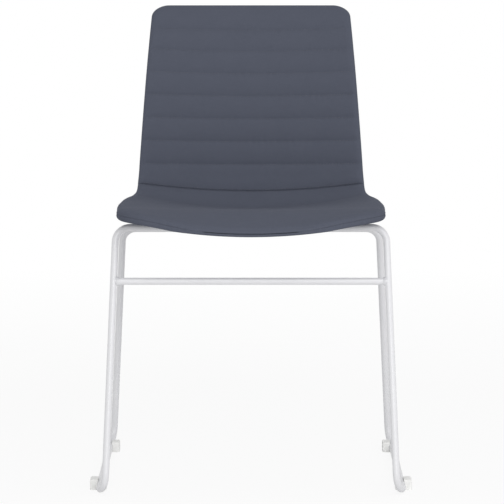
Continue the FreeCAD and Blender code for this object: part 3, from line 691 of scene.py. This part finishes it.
@dataclass
class UpholsteredShell:
    """The padded seat and back: four sewn covers with foam behind them, channels, seams and stitches.

    The coarse grid carries the cloth simulation, and the fine one the covers that are shown.
    """

    form: ShellForm
    cloth: WovenCloth
    thread: SewingThread
    channel_depth: float = 2.2
    channel_power: float = 3.6
    crease_depth: float = 5.0
    crease_reach: float = 34.0
    front_roll: float = 13.0
    rear_roll: float = 8.0
    cover_thick: float = 1.6
    foam_thick: float = 7.0
    rim_seam_depth: float = 1.1
    seam_pull: float = 0.5
    seam_half_width: float = 2.2
    pucker_height: float = 0.25
    pucker_pitch: float = 13.0
    pucker_reach: float = 9.0
    stitch_length: float = 4.2
    stitch_pitch: float = 5.6
    stitch_radius: float = 0.35
    stitch_sides: int = 6
    stitch_rings: int = 5
    stitch_lift: float = 0.25
    stitch_sag: float = 0.3
    least_depth: float = 0.3
    foam_floor: float = 1.9
    coarse_step: float = 6.0
    coarse_columns: int = 61
    fine_step: float = 2.6
    fine_columns: int = 151
    held_border: int = 3

    def panels(self) -> list[Panel]:
        """List the four covers."""
        crease, top = self.form.crease, self.form.length
        front, rear = Face.FRONT, Face.REAR
        return [
            Panel("seat_pad", ("seat_cover", "seat_foam"), "cover_fabric", front, 0.0, crease),
            Panel("ribbed_back_pad", ("ribbed_back_cover", "back_foam"), "cover_fabric", front, crease, top),
            Panel("back_rear_panel", ("back_rear_cover",), "cover_fabric", rear, crease, top),
            Panel("seat_underside_panel", ("seat_underside_cover",), "cover_fabric", rear, 0.0, crease),
        ]

    def seam_fade(self, s: np.ndarray, reach: float) -> np.ndarray:
        """Return 1 on the crease and each seam of the back, falling to 0 at the reach."""
        near = np.min([np.abs(s - seam) for seam in [self.form.crease, *self.form.seams]], axis=0)
        return np.exp(-(near / reach) ** 2)

    def depth(self, s: np.ndarray, face: Face) -> np.ndarray:
        """Return the height of a face above the middle surface at each length."""
        half = self.form.half_thick(s)
        if face is Face.REAR:
            return -half
        drop = self.form.channel(
            s, self.channel_depth, self.crease_depth, self.crease_reach, self.channel_power)
        return np.maximum(half - drop, half * self.least_depth)

    def surface(self, grid: Grid, s: np.ndarray, face: Face, sewn: bool) -> tuple[np.ndarray, np.ndarray]:
        """Return the points of a face and its places across.

        Args:
            grid: rows and columns.
            s: the rows' lengths along the path.
            face: front or rear.
            sewn: with the fine detail of seams and puckers.

        Returns:
            Points in metres, rows by columns by three, and X in millimetres.
        """
        x, up = grid.across(s, self.front_roll if face is Face.FRONT else self.rear_roll)
        m = self.depth(s, face)[:, None] * up
        if sewn:
            x = x * (1 - self.rim_seam_depth * (1 - up) ** 4 / np.maximum(np.abs(x), 1.0))
        if sewn and face is Face.FRONT:
            m = m - (self.seam_pull * self.seam_fade(s, self.seam_half_width))[:, None] * up
            m = m + self.puckers(s, x) * up
        return self.form.place(s, x, m), x

    def puckers(self, s: np.ndarray, x: np.ndarray) -> np.ndarray:
        """Return small folds that run out from the seams, where the stitches gather the cloth."""
        fade = self.seam_fade(s, self.pucker_reach)[:, None]
        phase = 2 * math.pi * x / self.pucker_pitch
        # Waves of unlike lengths in millimetres, so that no two folds look the same
        drift = 1.7 * np.sin(x / 31.0 + s[:, None] / 23.0) + 1.1 * np.sin(x / 13.7 - s[:, None] / 41.0)
        size = 0.6 + 0.4 * np.sin(x / 47.0 + s[:, None] / 17.0)
        return self.pucker_height * fade * size * np.sin(phase + drift)

    def swelling(self) -> tuple[np.ndarray, np.ndarray, Grid]:
        """Run the cloth simulation on a coarse grid and return its rows, its movement and its grid."""
        grid = Grid(self.form, self.coarse_step, self.coarse_columns)
        s = grid.rows()
        front = self.surface(grid, s, Face.FRONT, sewn=False)[0]
        held = np.zeros(front.shape[:2])
        held[self.seam_fade(s, 1.0) > 0.9] = 1.0
        edge = self.held_border
        held[:, :edge] = held[:, -edge:] = 1.0
        held[:edge] = held[-edge:] = 1.0
        return s, ClothSimulation().swell(front, held), grid

    def panel(self, panel: Panel, grid: Grid,
              coarse: tuple[np.ndarray, np.ndarray, Grid]) -> bpy.types.Object:
        """Build one cover with its foam as a closed form.

        Args:
            panel: which cover.
            grid: the fine grid.
            coarse: rows, movement and grid of the cloth simulation.

        Returns:
            The finished object.
        """
        s = grid.rows()
        s = s[(s >= panel.start - 1e-3) & (s <= panel.end + 1e-3)]
        outer, x = self.surface(grid, s, panel.face, sewn=True)
        if panel.face is Face.FRONT:
            rows, moved, simulated = coarse
            places = np.arange(moved.shape[1], dtype=float)
            turned = resample(moved, rows, s).transpose(1, 0, 2)
            outer = outer + resample(turned, places, self.columns_on(grid, simulated)).transpose(1, 0, 2)
        inner = self.lining(grid, s, panel.face)
        rows_count, columns = outer.shape[:2]
        index = np.arange(rows_count * columns).reshape(rows_count, columns)
        under = index + rows_count * columns
        loop = np.concatenate([index[0], index[1:, -1], index[-1, -2::-1], index[-2:0:-1, 0]])
        mate = loop + rows_count * columns
        rim = np.stack([loop, mate, np.roll(mate, -1), np.roll(loop, -1)], axis=1)
        faces = np.concatenate([quads_of(index), quads_of(under)[:, ::-1], rim])
        if panel.face is Face.REAR:
            faces = faces[:, ::-1]
        made = mesh_object(panel.name, np.concatenate([outer.reshape(-1, 3), inner.reshape(-1, 3)]), faces)
        thread = np.stack([x * MM, np.broadcast_to(s[:, None] * MM, x.shape), np.zeros_like(x)], axis=-1)
        thread = np.concatenate([thread.reshape(-1, 3)] * 2).astype(np.float32)
        stored = made.data.attributes.new(self.cloth.along, "FLOAT_VECTOR", "POINT")
        stored.data.foreach_set("vector", thread.ravel())
        return made

    def lining(self, grid: Grid, s: np.ndarray, face: Face) -> np.ndarray:
        """Return the hidden inner side of a cover and its foam, rows by columns by three."""
        roll = self.front_roll if face is Face.FRONT else self.rear_roll
        inside = np.clip(s, self.cover_thick, self.form.length - self.cover_thick)
        x, up = grid.across(inside, roll)
        half = self.form.half_thick(inside)
        full = np.clip(half / 8, 0, 1)[:, None] * up
        m = self.depth(inside, face)[:, None] * up
        if face is Face.FRONT:
            m = np.maximum(m - self.foam_thick * full, -self.foam_floor * full)
        else:
            m = m + self.cover_thick * full
        x = x * (1 - self.cover_thick / self.form.half_width(inside)[:, None])
        return self.form.place(inside, x, m)

    @staticmethod
    def columns_on(fine: Grid, coarse: Grid) -> np.ndarray:
        """Return where the fine grid's columns lie, counted in the coarse grid's columns."""
        border = np.arange(fine.roll_steps - 1, dtype=float)
        flat = len(border) + np.linspace(0, coarse.columns - 1, fine.columns)
        return np.concatenate([border, flat, len(border) + coarse.columns + border])

    def stitches(self) -> bpy.types.Object:
        """Lay a row of lock stitches in the crease and in each seam of the back."""
        sides, rings = self.stitch_sides, self.stitch_rings
        ring = np.linspace(0, 2 * math.pi, sides, endpoint=False)
        along = np.linspace(-1, 1, rings)
        points, faces = [], []
        for seam in [self.form.crease, *self.form.seams]:
            side = float(self.form.half_width(np.array([seam]))[0]) - self.front_roll
            for middle in np.arange(-side, side, self.stitch_pitch):
                run = middle + along * self.stitch_length / 2
                s = np.full(3, seam) + np.array([-0.5, 0.0, 0.5])
                m = (self.depth(s, Face.FRONT)[:, None] - self.seam_pull + self.stitch_lift
                     - self.stitch_sag * along[None, :] ** 2)
                cloth = self.form.place(s, np.broadcast_to(run, (3, rings)), m)
                first = np.gradient(cloth[1], axis=0)
                second = cloth[2] - cloth[0]
                first /= np.linalg.norm(first, axis=1, keepdims=True)
                second /= np.linalg.norm(second, axis=1, keepdims=True)
                third = np.cross(first, second)
                size = self.stitch_radius * MM * np.sqrt(1.02 - along ** 2)[:, None, None]
                turn = (np.cos(ring)[None, :, None] * second[:, None, :] + np.sin(ring)[None, :, None]
                        * third[:, None, :])
                index = np.arange(rings * sides).reshape(rings, sides) + rings * sides * len(points)
                points.append((cloth[1][:, None, :] + size * turn).reshape(-1, 3))
                faces.append(quads_of(np.concatenate([index, index[:, :1]], axis=1)))
        return mesh_object("channel_stitches", np.concatenate(points), np.concatenate(faces))

    def build(self) -> None:
        """Build and dress every soft piece."""
        cloth, thread = self.cloth.material(), self.thread.material()
        coarse = self.swelling()
        grid = Grid(self.form, self.fine_step, self.fine_columns)
        for panel in self.panels():
            cover = self.panel(panel, grid, coarse)
            cover.data.materials.append(cloth)
            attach(cover, "root")
            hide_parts(*panel.nodes)
        stitches = self.stitches()
        stitches.data.materials.append(thread)
        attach(stitches, "root")
        log.info("upholstery: %d covers and their stitches", len(self.panels()))


# The base, its fixings and the parts that the covers hide

@dataclass
class Base:
    """Rods, welds, lugs, spacers, glides, screws and the moulded shell, as the model has them."""

    coat: PowderCoatedSteel
    plate: ZincPlatedSteel
    glide: MouldedPlastic
    spacer: MouldedPlastic
    shell: MouldedPlastic

    def finishes(self) -> dict[str, Any]:
        """Name the finish of each material slot in the record."""
        return {
            "powder_coated_steel": self.coat,
            "zinc_plated_steel": self.plate,
            "glide_plastic": self.glide,
            "spacer_plastic": self.spacer,
            "shell_plastic": self.shell,
        }

    def dress(self) -> None:
        """Give every modelled node that stays on show its finish."""
        materials = {name: finish.material() for name, finish in self.finishes().items()}
        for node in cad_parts.values():
            for place in node.material_slots:
                finish = place.material.name.split(".")[0]
                if finish in materials:
                    place.material = materials[finish]
        log.info("base: %d finishes", len(materials))


# The studio

@dataclass(frozen=True)
class Softbox:
    """A large soft lamp: where it stands, what it points at, its size and its power."""

    name: str
    place: tuple[float, float, float]
    target: tuple[float, float, float]
    width: float
    height: float
    power: float

    def build(self) -> None:
        """Hang the lamp."""
        lamp = bpy.data.lights.new(self.name, "AREA")
        lamp.shape = "RECTANGLE"
        lamp.size, lamp.size_y, lamp.energy = self.width, self.height, self.power
        hung = bpy.data.objects.new(self.name, lamp)
        hung.location = self.place
        hung.rotation_euler = (Vector(self.target) - Vector(self.place)).to_track_quat("-Z", "Y").to_euler()
        bpy.context.scene.collection.objects.link(hung)


@dataclass
class Studio:
    """White floor and room, two soft lamps, and the camera fitted to the photograph."""

    floor_half: float = 6.0
    floor_colour: str = "#F6F6F6"
    floor_glow: float = 0.88
    floor_fade: tuple[float, float] = (1.0, 3.0)
    ambient: float = 0.62
    camera_place: tuple[float, float, float] = (0.00175, -5.8398, 1.0628)
    camera_down_deg: float = 6.599
    lens_mm: float = 238.36
    lamps: tuple[Softbox, ...] = (
        Softbox("front_softbox", (0.6, -4.4, 2.3), (0.0, 0.0, 0.5), 3.0, 2.4, 86.0),
        Softbox("key_softbox", (2.8, -2.2, 2.0), (0.0, 0.0, 0.5), 2.0, 2.0, 12.0),
    )

    @staticmethod
    def seen(tree: bpy.types.NodeTree) -> bpy.types.NodeSocket:
        """Return a value of 1 where the camera sees a surface, also in a mirror or through glass."""
        rays = add_node(tree, "ShaderNodeLightPath")
        direct = add_node(tree, "ShaderNodeMath", {
            0: rays.outputs["Is Camera Ray"], 1: rays.outputs["Is Glossy Ray"]}, operation="MAXIMUM")
        every = add_node(tree, "ShaderNodeMath", {
            0: direct.outputs[0], 1: rays.outputs["Is Transmission Ray"]}, operation="MAXIMUM")
        return every.outputs[0]

    def floor(self) -> None:
        """Lay the floor: lit sheet that glows for the camera alone and fades out into the world."""
        half = self.floor_half
        corners = half * np.array([(-1, -1, 0), (1, -1, 0), (1, 1, 0), (-1, 1, 0)], float)
        floor = mesh_object("studio_floor", corners, np.array([[0, 1, 2, 3]]))
        material, tree, output = new_material("backlit_white_acrylic_sheet")
        place = add_node(tree, "ShaderNodeTexCoord").outputs["Object"]
        reach = add_node(tree, "ShaderNodeVectorMath", {0: place}, operation="LENGTH")
        fade = add_node(tree, "ShaderNodeMapRange", {
            "Value": reach.outputs["Value"],
            "From Min": self.floor_fade[0], "From Max": self.floor_fade[1]})
        sheet = add_node(tree, "ShaderNodeBsdfDiffuse", {"Color": linear(self.floor_colour)})
        glow = add_node(tree, "ShaderNodeEmission", {"Color": (1.0, 1.0, 1.0, 1.0), "Strength": 1.0})
        clear = add_node(tree, "ShaderNodeBsdfTransparent")
        share = add_node(tree, "ShaderNodeMath", {
            0: self.seen(tree), 1: self.floor_glow}, operation="MULTIPLY")
        lit = add_node(tree, "ShaderNodeMixShader", {
            0: share.outputs[0], 1: sheet.outputs["BSDF"], 2: glow.outputs["Emission"]})
        faded = add_node(tree, "ShaderNodeMixShader", {
            0: fade.outputs["Result"], 1: lit.outputs["Shader"], 2: clear.outputs["BSDF"]})
        tree.links.new(faded.outputs["Shader"], output.inputs["Surface"])
        floor.data.materials.append(material)

    def world(self) -> None:
        """Fill the room with even light, and show white behind the floor."""
        world = bpy.data.worlds.new("white_room")
        world.use_nodes = True
        tree = world.node_tree
        tree.nodes.clear()
        strength = add_node(tree, "ShaderNodeMath", {
            0: self.seen(tree), 1: 1.0 - self.ambient, 2: self.ambient}, operation="MULTIPLY_ADD")
        sky = add_node(tree, "ShaderNodeBackground", {
            "Color": (1.0, 1.0, 1.0, 1.0), "Strength": strength.outputs[0]})
        add_node(tree, "ShaderNodeOutputWorld", {"Surface": sky.outputs["Background"]})
        bpy.context.scene.world = world

    def camera(self) -> None:
        """Set up the camera."""
        data = bpy.data.cameras.new("photo_camera")
        data.lens, data.sensor_width, data.clip_end = self.lens_mm, 36.0, 100.0
        camera = bpy.data.objects.new("photo_camera", data)
        camera.location = self.camera_place
        camera.rotation_euler = (math.radians(90 - self.camera_down_deg), 0.0, 0.0)
        bpy.context.scene.collection.objects.link(camera)
        bpy.context.scene.camera = camera

    def build(self) -> None:
        """Build the whole studio."""
        self.floor()
        self.world()
        self.camera()
        for lamp in self.lamps:
            lamp.build()
        bpy.context.scene.view_settings.view_transform = "Standard"


def main() -> None:
    """Build the studio and the chair."""
    logging.basicConfig(level=logging.INFO, format="%(name)s: %(message)s")
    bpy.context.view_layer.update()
    Studio().build()
    UpholsteredShell(ShellForm(), WovenCloth(), SewingThread()).build()
    Base(
        coat=PowderCoatedSteel(),
        plate=ZincPlatedSteel(),
        glide=MouldedPlastic("moulded_nylon", "#F6F6F4", "#EFEFED", scatter=0.1),
        spacer=MouldedPlastic("moulded_polyamide_spacer", "#2B2C2E", "#232426", roughness=0.45),
        shell=MouldedPlastic("moulded_polypropylene", "#303235", "#28292C", roughness=0.55),
    ).dress()


if __name__ == "__main__":
    main()
